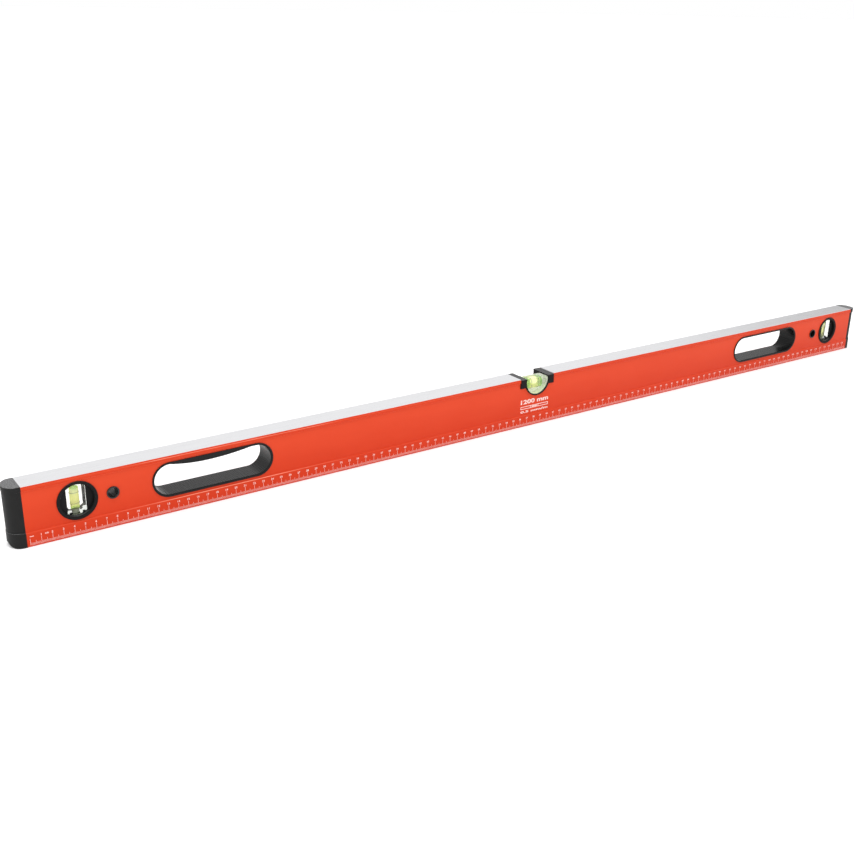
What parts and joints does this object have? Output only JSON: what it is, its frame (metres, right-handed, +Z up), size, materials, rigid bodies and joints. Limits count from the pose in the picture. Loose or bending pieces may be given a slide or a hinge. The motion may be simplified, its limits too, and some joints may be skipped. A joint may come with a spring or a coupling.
{
  "type": "spirit level",
  "caption": "Long box-section spirit level with lined hand holes, hanging holes, a top-reading centre vial and an upright plumb vial near each end.",
  "frame": {"origin": "middle of the base, on the surface that the level stands on", "axes": "+X along the level, +Y from the scale face to the other face, +Z up out of the top edge"},
  "size_m": [1.2, 0.0276, 0.059],
  "materials": {
    "painted_section": "aluminium extrusion: red powder coat on the faces, bare milled metal on the top and base",
    "cap_rubber": "fine matt grain",
    "plug_plastic": "as moulded",
    "liner_plastic": "satin, as moulded",
    "bush_plastic": "gloss, as moulded",
    "vial_frame": "fine grain, as moulded",
    "vial_acrylic": "clear, polished",
    "vial_liquid": "clear yellow-green",
    "vial_plug": "translucent, as moulded",
    "reading_ring": "matt black",
    "bubble": "clear air bubble",
    "screw_steel": "zinc plated"
  },
  "bodies": {
    "level": {"box_section": "painted_section", "centre_holder": "vial_frame", "centre_block": "vial_acrylic", "centre_liquid": "vial_liquid", "centre_plug": "vial_plug", "centre_rings": "reading_ring", "end_cap_left": "cap_rubber", "end_plug_left": "plug_plastic", "hand_liner_left_front": "liner_plastic", "hang_bush_left_front": "bush_plastic", "plumb_holder_left_front": "vial_frame", "hand_liner_left_back": "liner_plastic", "hang_bush_left_back": "bush_plastic", "plumb_holder_left_back": "vial_frame", "plumb_screws_left": "screw_steel", "plumb_block_left": "vial_acrylic", "plumb_liquid_left": "vial_liquid", "plumb_plug_left": "vial_plug", "plumb_rings_left": "reading_ring", "end_cap_right": "cap_rubber", "end_plug_right": "plug_plastic", "hand_liner_right_front": "liner_plastic", "hang_bush_right_front": "bush_plastic", "plumb_holder_right_front": "vial_frame", "hand_liner_right_back": "liner_plastic", "hang_bush_right_back": "bush_plastic", "plumb_holder_right_back": "vial_frame", "plumb_screws_right": "screw_steel", "plumb_block_right": "vial_acrylic", "plumb_liquid_right": "vial_liquid", "plumb_plug_right": "vial_plug", "plumb_rings_right": "reading_ring"},
    "centre_bubble": {"centre_bubble": "bubble"},
    "plumb_bubble_left": {"plumb_bubble_left": "bubble"},
    "plumb_bubble_right": {"plumb_bubble_right": "bubble"}
  },
  "joints": [
    {"name": "centre_bubble_run", "type": "slide", "parent": "level", "child": "centre_bubble", "axis": [1, 0, 0], "range_m": [-0.0042, 0.0042], "stiffness_N_per_m": 40, "deforming": ["centre_liquid"]},
    {"name": "plumb_bubble_run_left", "type": "slide", "parent": "level", "child": "plumb_bubble_left", "axis": [0, 0, 1], "range_m": [-0.0131, 0], "stiffness_N_per_m": 40, "deforming": ["plumb_liquid_left"]},
    {"name": "plumb_bubble_run_right", "type": "slide", "parent": "level", "child": "plumb_bubble_right", "axis": [0, 0, 1], "range_m": [-0.0131, 0], "stiffness_N_per_m": 40, "deforming": ["plumb_liquid_right"]}
  ]
}
